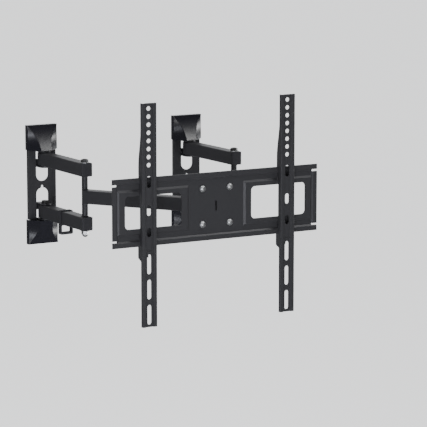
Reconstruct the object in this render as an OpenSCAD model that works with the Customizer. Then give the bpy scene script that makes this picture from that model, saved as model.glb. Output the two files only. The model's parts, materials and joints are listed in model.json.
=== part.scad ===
// Full motion wall mount for a television: two wall brackets, each with a pair
// of short arms and one forearm, meet at a head that tilts a wide hooking plate
// with two slotted rails. Millimetres. X runs along the wall, Z is up, the wall
// is the plane Y = 0 and the screen side is -Y. The origin is the centre of the
// left wall bracket, on the wall.

/* [Wall brackets] */
// Distance between the centres of the two wall brackets
bracket_spacing = 326; // [240:1:360]
// Width of a wall bracket
bracket_w = 60; // [50:1:90]
// How far the bracket's front face stands off the wall
bracket_d = 8; // [6:0.5:12]
// Sheet thickness of the wall bracket
bracket_t = 2.5; // [2:0.1:4]
// Width of the bracket's necks under the covers
neck_w = 50; // [40:1:56]
// Height of one plastic cover
cover_h = 50; // [40:1:70]
// Wall thickness of a cover
cover_t = 2; // [1.5:0.1:3]
// Gap between a cover and the bracket's sides
cover_gap = 0.5; // [0.3:0.1:1]
// How far a cover's deep end stands off the wall
cover_d = 33; // [26:1:45]
// Height of a cover's straight side walls, off the wall
cover_rim = 10; // [8:0.5:14]
// How far a cover narrows on each side towards its deep end
cover_inset = 20; // [10:1:24]
// Distance between the upper and the lower wall screw
wall_hole_spacing = 184; // [170:1:200]
// Diameter of the holes for the wall screws
wall_hole_d = 9; // [6:0.5:10]

/* [Arms] */
// Distance between the two pivots of a first arm
arm_len = 166; // [130:1:220]
// Distance between the two pivots of a forearm
forearm_len = 219; // [180:1:280]
// Width of the arm tubes
arm_w = 24; // [20:1:30]
// Height of the arm tubes
arm_h = 26; // [22:1:30]
// Wall thickness of the arm tubes
tube_t = 2; // [1.5:0.1:3]
// Clear height between the upper and the lower first arm
arm_gap = 80; // [70:1:110]
// Distance of the wall pivots from the wall
pivot_off = 21; // [20:1:30]
// How far the left first arms lean from straight ahead
left_arm_angle = 3.7; // [0:0.1:12]
// Heading of the left forearm from straight ahead
left_forearm_angle = 37.9; // [36:0.1:42]
// Distance of the cable clip from the wall pivot
clip_pos = 86; // [50:1:110]

/* [Pivots] */
// Diameter of the pivot bolts
pivot_d = 8; // [6:0.5:10]
// Radial clearance of a running pivot
run_gap = 0.05; // [0.03:0.01:0.09]
// Thickness of the sliding washers
washer_t = 0.8; // [0.5:0.1:1.5]
// Free play on each side of a sliding washer
play = 0.1; // [0.05:0.05:0.2]
// Thickness of the lugs that hold the arms
lug_t = 3; // [2.5:0.1:4]

/* [Head] */
// Distance between the two pivots of the head
head_pivot_spacing = 60; // [50:1:80]
// How far the plate's rims stand in front of the head pivots
plate_off = 62; // [60:1:80]
// Height of the tilt axis over the middle of the arms
tilt_z = 16; // [14:1:20]
// How far the tilt axis stands in front of the head pivots
tilt_off = 36; // [34:1:40]
// Distance from the tilt axis to the locking bolts below it
lock_r = 32; // [28:1:36]
// Largest tilt, screen facing down
tilt_down = 15; // [10:1:18]
// Largest tilt, screen facing up
tilt_up = 5; // [2:1:6]

/* [Plate] */
// Width of the plate
plate_w = 436; // [400:1:520]
// Height of the plate
plate_h = 129; // [120:1:150]
// Sheet thickness of the plate
plate_t = 2.5; // [2:0.1:3]
// How far the plate's centre sits over the middle of the arms
plate_z = 3.5; // [0:0.5:6]
// Height of the rims along the plate's top and bottom edges
rim_h = 11; // [9:0.5:14]
// Width of the rims at the plate's two ends
rim_w = 10.5; // [8:0.5:14]
// How far the rims stand forward of the plate's field
rim_d = 3; // [2:0.5:4]
// Height of the relief notches between the rims
notch_h = 3; // [2:0.5:5]
// Distance of the windows' centres from the plate's centre
window_x = 133; // [110:1:140]
// Width of a window
window_w = 118; // [90:1:124]
// Height of a window
window_h = 62; // [50:1:70]
// Width of the raised border round a window
border_w = 12; // [8:0.5:14]
// Horizontal distance between the plate's bolts
plate_bolt_x = 58; // [50:1:66]
// Vertical distance between the plate's bolts
plate_bolt_z = 68; // [60:1:76]

/* [Rails] */
// Distance between the centres of the two rails
rail_spacing = 294; // [200:1:370]
// Length of a rail
rail_len = 420; // [400:1:480]
// Width of a rail
rail_w = 30; // [28:1:36]
// Sheet thickness of a rail
rail_t = 2; // [1.5:0.1:2.5]
// How far a rail's front stands in front of the plate's rims
rail_off = 11; // [10:0.5:14]
// How far a rail's centre sits under the plate's centre
rail_drop = 6.5; // [0:0.5:12]
// Depth of the channel pressed into a rail's face
groove_d = 2.5; // [2:0.5:3]
// Width of the flat floor of that channel
groove_w = 13; // [12:0.5:16]
// Number of round holes in a rail
hole_count = 8; // [4:1:8]
// Distance from one round hole to the next
hole_pitch = 15; // [13:0.5:15]
// Distance of the first hole from the rail's top
hole_start = 10; // [8:0.5:14]
// Diameter of the round holes, and width of the slots
hole_d = 8.5; // [6.5:0.5:9]
// Length of a long slot
long_slot = 37.5; // [30:0.5:42]
// Distance from one long slot to the next
long_pitch = 47.75; // [46:0.25:50]

/* [Hidden] */
$fn = 48;
eps = 0.01;

coat = "#26272a";
coat_light = "#303134";
gloss_black = "#141517";
black_plastic = "#1d1e20";
nylon = "#3a3b3d";
zinc = "#c9ccd0";

// Heights of the first arms and of the lugs round them
arm_z0 = arm_gap / 2;
arm_z1 = arm_z0 + arm_h;
stack = washer_t + 2 * play;
lug_in = arm_z0 - stack;
lug_out = arm_z1 + stack;
lug_r = 12;
cover_z0 = lug_out + lug_t + 0.3;
cover_z1 = cover_z0 + cover_h;
cover_w = bracket_w + 2 * (cover_t + cover_gap);
cover_rise = 1.3;
cover_round = 2.3;
cover_steps = 16;
corner_steps = 4;
corner_r = 3;
neck_end = cover_z1 - cover_t;

// Wall bracket cut-outs
cut_w = 26;
cut_web = 6.5;
cut_top = lug_out;
mark_slot_x = 23;
mark_slot_z = -34;
mark_d = 1;
wall_seat_r = wall_hole_d / 2 + 5;

// Arms
thread_gap = 0.02;
sleeve_r = pivot_d / 2 + 2.5;
arm_back = sleeve_r + 1;
arm_front = sleeve_r + 2;
cap_t = 2.5;
cap_plug = 0.8;
elbow_sleeve_r = 6;
bore_r = pivot_d / 2 + run_gap;
thread_r = pivot_d / 2 + thread_gap;
bush_r = 10;
bush_bore_r = bore_r + 0.1;
head_r = 6.8;
head_h = 5;
steel_washer_t = 1.5;
steel_washer_r = 9;
nut_r = 7.5;
nut_h = 6.5;
dome_h = 6;

// Pivot points in plan and the arms' angles, measured from -Y towards +X
function heading(a) = [sin(a), -cos(a)];
function angle_of(v) = atan2(v.x, -v.y);
function meet(a, ra, b, rb) =
    let (
        gap = norm(b - a),
        along = (gap * gap + ra * ra - rb * rb) / (2 * gap),
        u = (b - a) / gap
    )
    a + along * u + sqrt(ra * ra - along * along) * [-u.y, u.x];

left_wall = [0, -pivot_off];
left_elbow = left_wall + arm_len * heading(left_arm_angle);
left_head = left_elbow + forearm_len * heading(left_forearm_angle);
head_c = left_head + [head_pivot_spacing / 2, 0];
right_head = left_head + [head_pivot_spacing, 0];
right_wall = [bracket_spacing, -pivot_off];
right_elbow = meet(right_wall, arm_len, right_head, forearm_len);
right_arm_angle = angle_of(right_elbow - right_wall);
right_forearm_angle = angle_of(right_head - right_elbow);

// Head, from the head pivots' midpoint: forward is -Y
fork_r = 13;
fork_in = arm_h / 2 + stack;
fork_out = fork_in + lug_t;
fork_x = head_pivot_spacing / 2 + fork_r;
web_y = fork_r + 3;
tilt_t = 3;
ear_gap = 0.3;
ear_in = fork_x + ear_gap;
ear_out = ear_in + tilt_t;
lock_z = tilt_z - lock_r;
tilt_back = plate_off - rim_d - plate_t;
frame_h = plate_bolt_z + 26;
tilt_bolt_r = 4;
tilt_nut_r = 6.5;
tilt_nut_h = 5.2;
lock_bolt_r = 3;
lock_head_h = 4;
knob_r = 9;
knob_h = 9;
knob_neck = 2.5;
lobe_r = 2.6;
ear_r = 12;
lock_ear_r = 7.5;
cheek_r = 13;
lock_cheek_r = 9;

// Plate and rails, from the plate's centre on the plane of its rims
window_r = 8;
border_slope = 4;
end_x = plate_w / 2;
lip_z = plate_h / 2;
field_z = lip_z - rim_h;
field_x = end_x - rim_w;
bolt_r = 4;
rail_top = rail_len / 2 - rail_drop;
groove_slope = 2;
slot_mid = rail_len - long_slot / 2 - 4.5;
hook_in = plate_t + 0.5;
hook_out = hook_in + 2.5;
tab_z = lip_z + 8;
tab_t = 3;
screw_r = 2;
screw_head_h = 6.5;
screw_y = plate_t + screw_r + 0.4;
short_slots = [[146.5, 22], [200, 20], [241, 17]];

// A rounded rectangle, exact in its arcs
module rounded(x, y, r) {
    square([x - 2 * r, y], center = true);
    square([x, y - 2 * r], center = true);
    for (sx = [-1, 1], sy = [-1, 1])
        translate([sx * (x / 2 - r), sy * (y / 2 - r)]) circle(r);
}

// A round-ended slot along Y, of a width and an overall length
module slot(w, l) {
    square([w, l - w], center = true);
    for (s = [-1, 1]) translate([0, s * (l - w) / 2]) circle(w / 2);
}

// Two circles joined by a bar, along X
module link(x0, x1, r) {
    translate([x0, 0]) circle(r);
    translate([x1, 0]) circle(r);
    translate([x0, -r]) square([x1 - x0, 2 * r]);
}

// Places a part's local X along an arm that starts at a pivot
module at_arm(p, a) {
    translate([p.x, p.y, 0]) rotate([0, 0, a - 90]) children();
}

// Stands a flat outline up: its X stays X, its Y becomes Z, it grows to -Y
module upright(y, t) {
    translate([0, -y, 0]) rotate([90, 0, 0]) linear_extrude(t) children();
}

// Turns a profile drawn as (forward, height) into a bar along X
module along_x(x0, x1) {
    translate([x0, 0, 0]) rotate([90, 0, 90]) linear_extrude(x1 - x0)
        mirror([1, 0]) children();
}

module ring(r_out, r_in, t) {
    linear_extrude(t) difference() {
        circle(r_out);
        circle(r_in);
    }
}

// Hexagon with its top corners turned down, as on a bolt head or a nut
module hex(r, h) {
    intersection() {
        cylinder(r = r, h = h, $fn = 6);
        cylinder(r1 = r + 1.2, r2 = r - 0.6, h = h);
    }
}

// ---- wall bracket ----

// Lug that carries an arm from below: a tongue with a curved root
module lug_profile() {
    root_d = 4;
    root_r = 6;
    difference() {
        union() {
            translate([1, lug_in - lug_t]) square([pivot_off + lug_r - 1, lug_t]);
            translate([1, lug_in - lug_t]) square([root_d - 1 + root_r, lug_t + root_r]);
            translate([1, lug_in]) square([root_d - 1, 2 * root_r]);
        }
        translate([root_d + root_r, lug_in + root_r]) circle(root_r);
    }
}

module lug_plan() {
    translate([0, -pivot_off]) circle(lug_r);
    translate([-lug_r, -pivot_off]) square([2 * lug_r, pivot_off]);
}

module root_lug() {
    intersection() {
        along_x(-cut_w / 2, cut_w / 2) lug_profile();
        union() {
            linear_extrude(lug_in) lug_plan();
            translate([-cut_w / 2, -bracket_d, lug_in - lug_t])
                cube([cut_w, bracket_d, 2 * arm_h]);
            translate([-lug_r, -pivot_off, lug_in - lug_t])
                cube([2 * lug_r, pivot_off, 2 * arm_h]);
        }
    }
}

module top_lug() {
    translate([0, 0, lug_out]) linear_extrude(lug_t) intersection() {
        lug_plan();
        translate([-lug_r, -pivot_off - lug_r])
            square([2 * lug_r, pivot_off + lug_r - bracket_d + bracket_t]);
    }
}

module bracket_cut() {
    r = cut_w / 2;
    translate([0, cut_web + r]) circle(r);
    translate([-r, cut_web + r]) square([cut_w, cut_top - cut_web - r]);
}

module wall_bracket() {
    wide_z = cover_z0 - 0.3;
    back = bracket_d - bracket_t;
    color(coat) difference() {
        union() {
            difference() {
                union() {
                    upright(0, bracket_d) square([bracket_w, 2 * wide_z], center = true);
                    upright(0, bracket_d) square([neck_w, 2 * neck_end], center = true);
                }
                translate([0, 1, 0]) upright(0, back + 1) union() {
                    square([bracket_w - 2 * bracket_t, 2 * wide_z - 2 * bracket_t], center = true);
                    square([neck_w - 2 * bracket_t, 2 * neck_end - 2 * bracket_t], center = true);
                }
                upright(-1, bracket_d + 2) for (s = [0, 1]) mirror([0, s]) bracket_cut();
                upright(-1, bracket_d + 2) translate([0, -cut_web - 4]) slot(5, 18);
                // shallow mark pressed beside the lower opening
                upright(bracket_d - mark_d, mark_d + 1)
                    translate([mark_slot_x, mark_slot_z]) slot(3, 16);
            }
            for (s = [0, 1]) mirror([0, 0, s]) {
                root_lug();
                top_lug();
                // pressed seat that lets a wall screw clamp the sheet to the wall
                upright(0, bracket_d - bracket_t / 2)
                    translate([0, wall_hole_spacing / 2]) circle(wall_seat_r);
            }
        }
        for (s = [-1, 1])
            upright(-1, bracket_d + 2)
                translate([0, s * wall_hole_spacing / 2]) circle(wall_hole_d / 2);
        // the bolts drop in from above and screw into the lug below each arm
        translate([0, -pivot_off, lug_out - 1]) cylinder(r = bore_r, h = lug_t + 2);
        translate([0, -pivot_off, -lug_in - 1]) cylinder(r = bore_r, h = lug_t + 2);
        translate([0, -pivot_off, lug_in - lug_t - 1]) cylinder(r = thread_r, h = lug_t + 2);
        translate([0, -pivot_off, -lug_out - lug_t - 1]) cylinder(r = thread_r, h = lug_t + 2);
    }
}

// ---- covers ----

// Half of a cover's cross-section at u, from 0 at the outer end to 1 at the deep end
function cover_depth(u, t) =
    cover_rim + (cover_d - cover_rim) * pow(max(u, 0), cover_rise) - t;
function cover_narrow(u) =
    cover_inset * (1 - pow(max(1 - u, 0), cover_round));
function corner(a, b, c, r) =
    let (
        p = (a - b) / norm(a - b),
        q = (c - b) / norm(c - b),
        half = acos(max(min(p * q, 1), -1)) / 2,
        cut = min(r / tan(half), 0.45 * min(norm(a - b), norm(c - b)))
    )
    [for (i = [0:corner_steps])
        let (k = i / corner_steps)
        b + cut * (1 - k) * (1 - k) * p + cut * k * k * q];
function cover_half(u, t) =
    let (
        w = cover_w / 2 - t,
        d = cover_depth(u, t),
        rim = min(cover_rim - t, d - 0.2),
        foot = [w, 0],
        side = [w, -rim],
        front = [w - max(cover_narrow(u), 0.5), -d - 0.1],
        mid = [0, -d - 0.1]
    )
    concat([foot], corner(foot, side, front, corner_r), corner(side, front, mid, corner_r));
function cover_ring(u, t) =
    let (h = cover_half(u, t), n = len(h))
    concat(h, [for (i = [0:n - 1]) [-h[n - 1 - i].x, h[n - 1 - i].y]]);

// Shell open towards the arms and towards the wall: outer rings, then inner rings
module cover() {
    n = 2 * len(cover_half(0, 0));
    m = cover_steps;
    shut = cover_z1 - cover_t;
    levels = concat([for (k = [0:m]) cover_z0 + (shut - cover_z0) * k / m], [cover_z1]);
    outer = [for (z = levels) for (p = cover_ring((cover_z1 - z) / cover_h, 0)) [p.x, p.y, z]];
    inner = [for (k = [0:m]) for (p = cover_ring((cover_z1 - levels[k]) / cover_h, cover_t))
        [p.x, p.y, levels[k]]];
    i0 = len(outer);
    e = n - 1;
    out_sides = [for (k = [0:m]) for (j = [0:e - 1])
        let (a = k * n + j)
        each [[a, a + 1, a + n], [a + 1, a + 1 + n, a + n]]];
    in_sides = [for (k = [0:m - 1]) for (j = [0:e - 1])
        let (a = i0 + k * n + j)
        each [[a, a + n, a + 1], [a + 1, a + n, a + 1 + n]]];
    deep_edge = [for (j = [0:e - 1]) each [[j + 1, j, i0 + j], [j + 1, i0 + j, i0 + j + 1]]];
    feet = [for (k = [0:m - 1])
        let (o = k * n, i = i0 + k * n)
        each [[o, o + n, i + n, i], [o + n + e, o + e, i + e, i + n + e]]];
    ends = [
        [for (j = [0:e]) (m + 1) * n + j],
        [for (j = [0:e]) i0 + m * n + e - j],
        [(m + 1) * n, (m + 1) * n + e, m * n + e, i0 + m * n + e, i0 + m * n, m * n]
    ];
    color(gloss_black)
        polyhedron(concat(outer, inner), concat(out_sides, in_sides, deep_edge, feet, ends));
}

// ---- arms ----

// Rounded box tube along X with closed sleeves where the pivots pass
module tube_outline(x0, x1, r) {
    translate([(x0 + x1) / 2, 0]) rounded(x1 - x0, arm_w, r);
}

module tube_bar(x0, x1, w, h, r) {
    rotate([90, 0, 90]) translate([0, 0, x0]) linear_extrude(x1 - x0) rounded(w, h, r);
}

module first_arm() {
    x0 = -arm_back;
    x1 = arm_len + arm_front;
    color(coat) translate([0, 0, arm_z0 + arm_h / 2]) difference() {
        union() {
            difference() {
                tube_bar(x0, x1, arm_w, arm_h, 2.5);
                tube_bar(x0 - 1, x1 + 1, arm_w - 2 * tube_t, arm_h - 2 * tube_t, 1);
            }
            for (x = [0, arm_len])
                translate([x, 0, -arm_h / 2 + 1]) cylinder(r = sleeve_r, h = arm_h - 2);
        }
        for (x = [0, arm_len])
            translate([x, 0, -arm_h / 2 - 1]) cylinder(r = bore_r, h = arm_h + 2);
    }
}

// Moulded plug that closes one end of an arm tube
module arm_cap() {
    plug = 0.1;
    intersection() {
        union() {
            tube_bar(0, cap_t, arm_w, arm_h, 2.5);
            tube_bar(-cap_plug, eps, arm_w - 2 * tube_t - plug, arm_h - 2 * tube_t - plug, 1);
        }
        translate([0, 0, -arm_h]) linear_extrude(2 * arm_h)
            tube_outline(-arm_w, cap_t, 4);
    }
}

module arm_caps() {
    color(black_plastic) for (s = [-1, 1]) translate([0, 0, s * (arm_z0 + arm_h / 2)]) {
        translate([arm_len + arm_front, 0, 0]) arm_cap();
        translate([-arm_back, 0, 0]) mirror([1, 0, 0]) arm_cap();
    }
}

// Clip that rings the lower arm and carries cables in a loop below it
module cable_clip() {
    clip_w = 10;
    fit = 0.15;
    strap = 1.6;
    side = 3;
    drop = 18;
    in_w = arm_w + 2 * fit;
    in_h = arm_h + 2 * fit;
    mid = -arm_z0 - arm_h / 2;
    low = -arm_h / 2 - fit - drop;
    color(black_plastic) translate([clip_pos - clip_w / 2, 0, mid]) rotate([90, 0, 90])
        linear_extrude(clip_w) difference() {
            union() {
                rounded(in_w + 2 * strap, in_h + 2 * strap, 3);
                translate([0, (low - in_h / 2) / 2]) rounded(in_w + 2 * strap, -low - in_h / 2 + 4, 3);
            }
            rounded(in_w, in_h, 2.5);
            translate([0, -in_h / 2 - strap - (drop - strap - 2.5) / 2])
                rounded(in_w + 2 * strap - 2 * side, drop - strap - 2.5, 1.5);
        }
}

// Forearm with its elbow sleeve and an eye for the head pivot
module forearm_plan(inset) {
    translate([forearm_len, 0]) circle(arm_w / 2 - inset);
    translate([1 + inset, -arm_w / 2 + inset])
        square([forearm_len - 1 - inset, arm_w - 2 * inset]);
}

module forearm() {
    sleeve_h = 2 * (arm_z0 - stack);
    color(coat) difference() {
        union() {
            difference() {
                intersection() {
                    translate([0, 0, -arm_h / 2]) linear_extrude(arm_h) forearm_plan(0);
                    tube_bar(0, forearm_len + arm_w, arm_w, arm_h, 2.5);
                }
                translate([0, 0, -arm_h / 2 + tube_t]) linear_extrude(arm_h - 2 * tube_t)
                    forearm_plan(tube_t);
            }
            translate([0, 0, -sleeve_h / 2]) cylinder(r = elbow_sleeve_r, h = sleeve_h);
            translate([forearm_len, 0, -arm_h / 2 + 1]) cylinder(r = sleeve_r, h = arm_h - 2);
        }
        translate([0, 0, -sleeve_h / 2 - 1]) cylinder(r = bore_r, h = sleeve_h + 2);
        translate([forearm_len, 0, -arm_h / 2 - 1]) cylinder(r = bore_r, h = arm_h + 2);
    }
}

// ---- pivots ----

module wall_pivot_bolts() {
    reach = arm_h + 2 * stack + 2 * lug_t;
    color(coat_light) for (top = [lug_out + lug_t, -lug_in + lug_t]) translate([0, -pivot_off, top]) {
        translate([0, 0, -reach]) cylinder(r = pivot_d / 2, h = reach + 1);
        hex(nut_r, head_h);
        cylinder(r = steel_washer_r - 0.5, h = 1);
    }
}

module wall_bushes() {
    color(nylon) for (s = [0, 1], z = [lug_in, lug_out - washer_t])
        mirror([0, 0, s]) translate([0, -pivot_off, z]) ring(bush_r, bush_bore_r, washer_t);
}

module elbow_bolt() {
    top = arm_z1 + steel_washer_t;
    reach = 2 * arm_z1 + 2 * steel_washer_t + nut_h;
    color(coat_light) translate([0, 0, top]) {
        translate([0, 0, -reach]) cylinder(r = pivot_d / 2, h = reach + 1);
        hex(nut_r, head_h);
        translate([0, 0, head_h - eps]) cylinder(r1 = head_r - 1, r2 = head_r - 3, h = 1);
    }
}

module elbow_washers() {
    color(zinc) for (z = [arm_z1, -arm_z1 - steel_washer_t])
        translate([0, 0, z]) ring(steel_washer_r, thread_r, steel_washer_t);
}

module elbow_cap_nut() {
    top = -arm_z1 - steel_washer_t;
    color(zinc) translate([0, 0, top]) difference() {
        union() {
            translate([0, 0, -nut_h]) hex(nut_r, nut_h);
            translate([0, 0, -nut_h]) intersection() {
                sphere(r = dome_h);
                translate([0, 0, -dome_h - 1]) cylinder(r = dome_h + 1, h = dome_h + 1);
            }
        }
        translate([0, 0, -nut_h - 0.5]) cylinder(r = thread_r, h = nut_h + 1);
    }
}

module elbow_bushes() {
    color(nylon) for (z = [arm_z0 - washer_t, -arm_z0])
        translate([0, 0, z]) ring(elbow_sleeve_r + 2, bush_bore_r, washer_t);
}

// ---- head ----

module at_head() {
    translate([head_c.x, head_c.y, 0]) children();
}

// Fork that holds both forearms, with ears for the tilting frame
module head_bracket() {
    ear_t = tilt_t;
    ear_back = web_y;
    half = head_pivot_spacing / 2;
    color(coat) at_head() difference() {
        union() {
            for (z = [-fork_out, fork_in]) translate([0, 0, z]) linear_extrude(lug_t) {
                link(-half, half, fork_r);
                translate([-fork_x, -web_y - ear_t]) square([2 * fork_x, web_y + ear_t]);
            }
            translate([-fork_x, -web_y - ear_t, -fork_out]) cube([2 * fork_x, ear_t, 2 * fork_out]);
            for (x = [-fork_x, fork_x - ear_t]) along_x(x, x + ear_t) {
                translate([ear_back, -fork_out]) square([4, 2 * fork_out]);
                difference() {
                    union() {
                        translate([ear_back, tilt_z - ear_r]) square([tilt_off - ear_back, 2 * ear_r]);
                        translate([tilt_off, tilt_z]) circle(ear_r);
                        translate([ear_back, lock_z - lock_ear_r])
                            square([tilt_off - ear_back, tilt_z - lock_z]);
                        translate([tilt_off, lock_z]) circle(lock_ear_r);
                        translate([tilt_off - 4, lock_z]) square([4 + lock_ear_r, tilt_z - lock_z]);
                    }
                    translate([ear_back - 10, tilt_z + ear_r]) square([10, 10]);
                }
            }
        }
        for (x = [-half, half]) {
            translate([x, 0, -fork_out - 1]) cylinder(r = thread_r, h = lug_t + 2);
            translate([x, 0, fork_in - 1]) cylinder(r = thread_r, h = lug_t + 2);
        }
        for (z = [tilt_z, lock_z])
            translate([-fork_x - 1, -tilt_off, z]) rotate([0, 90, 0])
                cylinder(r = (z == tilt_z ? tilt_bolt_r : lock_bolt_r) + thread_gap, h = 2 * fork_x + 2);
        // window in the web, which lets the tilt bolts be reached
        translate([0, -web_y - ear_t - 1, 0]) rotate([-90, 0, 0]) linear_extrude(ear_t + 2)
            rounded(40, 16, 4);
    }
}

module head_pivot_bolts() {
    reach = 2 * fork_out;
    color(coat_light) at_head() for (s = [-1, 1]) translate([s * head_pivot_spacing / 2, 0, fork_out]) {
        translate([0, 0, -reach - nut_h]) cylinder(r = pivot_d / 2, h = reach + nut_h + 1);
        hex(nut_r, head_h);
        cylinder(r = steel_washer_r - 0.5, h = 1);
    }
}

module head_pivot_nuts() {
    color(zinc) at_head() for (s = [-1, 1])
        translate([s * head_pivot_spacing / 2, 0, -fork_out - nut_h]) difference() {
            hex(nut_r, nut_h);
            translate([0, 0, -1]) cylinder(r = thread_r, h = nut_h + 2);
        }
}

module head_bushes() {
    color(nylon) at_head() for (s = [-1, 1], z = [fork_in - washer_t, -fork_in])
        translate([s * head_pivot_spacing / 2, 0, z]) ring(bush_r, bush_bore_r, washer_t);
}

// ---- tilt ----

function spot(a, r) = r * [sin(a), -cos(a)];

// Outline of the arc-shaped slot for a locking bolt, round the tilt axis
module lock_arc() {
    half_w = lock_bolt_r + 0.2;
    from = -tilt_up - 1;
    to = tilt_down + 1;
    n = 8;
    polygon(concat(
        [for (i = [0:n]) spot(from + (to - from) * i / n, lock_r + half_w)],
        [for (i = [1:n - 1]) spot(to, lock_r) + spot(to + 180 * i / n, half_w)],
        [for (i = [0:n]) spot(to + (from - to) * i / n, lock_r - half_w)],
        [for (i = [1:n - 1]) spot(from, lock_r) + spot(from + 180 + 180 * i / n, half_w)]
    ));
}

module tilt_frame() {
    back = tilt_back - tilt_t;
    color(coat) at_head() difference() {
        union() {
            translate([-ear_out, -tilt_back, plate_z - frame_h / 2])
                cube([2 * ear_out, tilt_t, frame_h]);
            for (x = [-ear_out, ear_in]) along_x(x, x + tilt_t) {
                translate([tilt_off, tilt_z]) circle(cheek_r);
                translate([tilt_off, tilt_z - cheek_r]) square([tilt_back - tilt_off, 2 * cheek_r]);
                translate([tilt_off - lock_cheek_r - 3, lock_z - lock_cheek_r])
                    square([tilt_back - tilt_off + lock_cheek_r + 3, lock_r]);
                translate([tilt_off - 3, lock_z - lock_cheek_r]) circle(lock_cheek_r);
                translate([tilt_off - 3, lock_z - 2 * lock_cheek_r])
                    square([tilt_back - tilt_off + 3, 2 * lock_cheek_r + 2]);
            }
        }
        translate([-ear_out - 1, -tilt_off, tilt_z]) rotate([0, 90, 0])
            cylinder(r = tilt_bolt_r + run_gap, h = 2 * ear_out + 2);
        along_x(-ear_out - 1, ear_out + 1) translate([tilt_off, tilt_z]) lock_arc();
        for (x = [-1, 1], z = [-1, 1])
            translate([x * plate_bolt_x / 2, -tilt_back - 1, plate_z + z * plate_bolt_z / 2])
                rotate([-90, 0, 0]) cylinder(r = bolt_r + thread_gap, h = tilt_t + 2);
        // opening behind the plate's centre slot
        translate([0, -tilt_back - 1, plate_z]) rotate([-90, 0, 0]) linear_extrude(tilt_t + 2)
            rounded(34, 40, 5);
    }
}

module tilt_pivot_bolts() {
    color(coat_light) at_head() for (s = [0, 1]) mirror([s, 0, 0])
        translate([0, -tilt_off, tilt_z]) rotate([0, 90, 0]) {
            translate([0, 0, fork_x - tilt_t - tilt_nut_h - 0.3])
                cylinder(r = tilt_bolt_r, h = tilt_t * 2 + ear_gap + tilt_nut_h + 1.3);
            translate([0, 0, ear_out + 0.3]) cylinder(r = steel_washer_r, h = 1.2);
            translate([0, 0, ear_out + 1.5]) hex(tilt_nut_r, tilt_nut_h - 0.7);
        }
}

module tilt_pivot_nuts() {
    color(zinc) at_head() for (s = [0, 1]) mirror([s, 0, 0])
        translate([fork_x - tilt_t, -tilt_off, tilt_z]) rotate([0, -90, 0]) difference() {
            hex(tilt_nut_r, tilt_nut_h);
            translate([0, 0, -1]) cylinder(r = tilt_bolt_r + thread_gap, h = tilt_nut_h + 2);
        }
}

module tilt_lock_bolts() {
    color(coat_light) at_head() for (s = [0, 1]) mirror([s, 0, 0])
        translate([0, -tilt_off, lock_z]) rotate([0, 90, 0]) {
            translate([0, 0, fork_x - tilt_t]) mirror([0, 0, 1]) hex(5.5, lock_head_h);
            translate([0, 0, fork_x - tilt_t - 1])
                cylinder(r = lock_bolt_r, h = 2 * tilt_t + ear_gap + knob_h);
        }
}

module tilt_knobs() {
    lobes = 6;
    color(black_plastic) at_head() for (s = [0, 1]) mirror([s, 0, 0])
        translate([ear_out + 0.3, -tilt_off, lock_z]) rotate([0, 90, 0]) difference() {
            union() {
                cylinder(r = 6, h = knob_neck + 0.5);
                translate([0, 0, knob_neck]) cylinder(r = knob_r, h = knob_h);
                for (i = [0:lobes - 1]) rotate([0, 0, (i + 0.25) * 360 / lobes])
                    translate([knob_r - 0.8, 0, knob_neck + 0.7]) cylinder(r = lobe_r, h = knob_h - 1.4);
            }
            translate([0, 0, -1]) cylinder(r = lock_bolt_r + thread_gap, h = knob_h);
        }
}

// ---- plate ----

module at_plate() {
    translate([head_c.x, head_c.y - plate_off, plate_z]) children();
}

// Pyramid with a flat top, made by crossing two trapezoids; z runs forward
module pad(x, z, slope, h) {
    intersection() {
        rotate([90, 0, 0]) linear_extrude(4 * z, center = true)
            polygon([[-x / 2 - slope, 0], [x / 2 + slope, 0], [x / 2, h], [-x / 2, h]]);
        rotate([90, 0, 90]) linear_extrude(4 * x, center = true)
            polygon([[-z / 2 - slope, 0], [z / 2 + slope, 0], [z / 2, h], [-z / 2, h]]);
    }
}

// Stepped edge of the plate as a strip (across, forward), from the field to the rim's tip
module rim_profile(field, tip) {
    bend = rim_d;
    foot = 1;
    polygon([
        [field - foot, -rim_d - plate_t], [field, -rim_d - plate_t],
        [field + bend, -plate_t], [tip, -plate_t], [tip, 0],
        [field + bend - 1, 0], [field - 1, -rim_d], [field - foot, -rim_d]
    ]);
}

module window_pads(grow) {
    for (s = [-1, 1]) translate([s * window_x, 0, 0])
        pad(window_w + 2 * border_w - grow, window_h + 2 * border_w - grow - 8, border_slope, rim_d - 0.5);
}

module tv_plate() {
    color(coat) at_plate() rotate([90, 0, 0]) difference() {
        union() {
            // the field, and the raised borders round its windows
            translate([-field_x, -field_z, -rim_d - plate_t]) cube([2 * field_x, 2 * field_z, plate_t]);
            translate([0, 0, -rim_d]) window_pads(0);
            for (s = [0, 1]) mirror([0, s, 0])
                rotate([90, 0, 90]) translate([0, 0, -end_x]) linear_extrude(plate_w)
                    rim_profile(field_z, lip_z);
            for (s = [0, 1]) mirror([s, 0, 0])
                rotate([90, 0, 0]) translate([0, 0, -field_z + notch_h])
                    linear_extrude(2 * (field_z - notch_h)) rim_profile(field_x, end_x);
        }
        translate([0, 0, -rim_d - plate_t - eps]) window_pads(4);
        // relief notches at the four corners
        for (x = [-1, 1], z = [-1, 1])
            translate([x * (end_x - rim_w / 2 + 0.5), z * (field_z - notch_h / 2 + 0.5), 0])
                cube([rim_w + 1, notch_h + 1, 20], center = true);
        for (s = [-1, 1]) translate([s * window_x, 0, -20]) linear_extrude(40)
            rounded(window_w, window_h, window_r);
        for (x = [-1, 1], z = [-1, 1])
            translate([x * plate_bolt_x / 2, z * plate_bolt_z / 2, -20])
                cylinder(r = bolt_r + thread_gap, h = 40);
        translate([0, 0, -20]) linear_extrude(40) slot(4, 20);
    }
}

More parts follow.
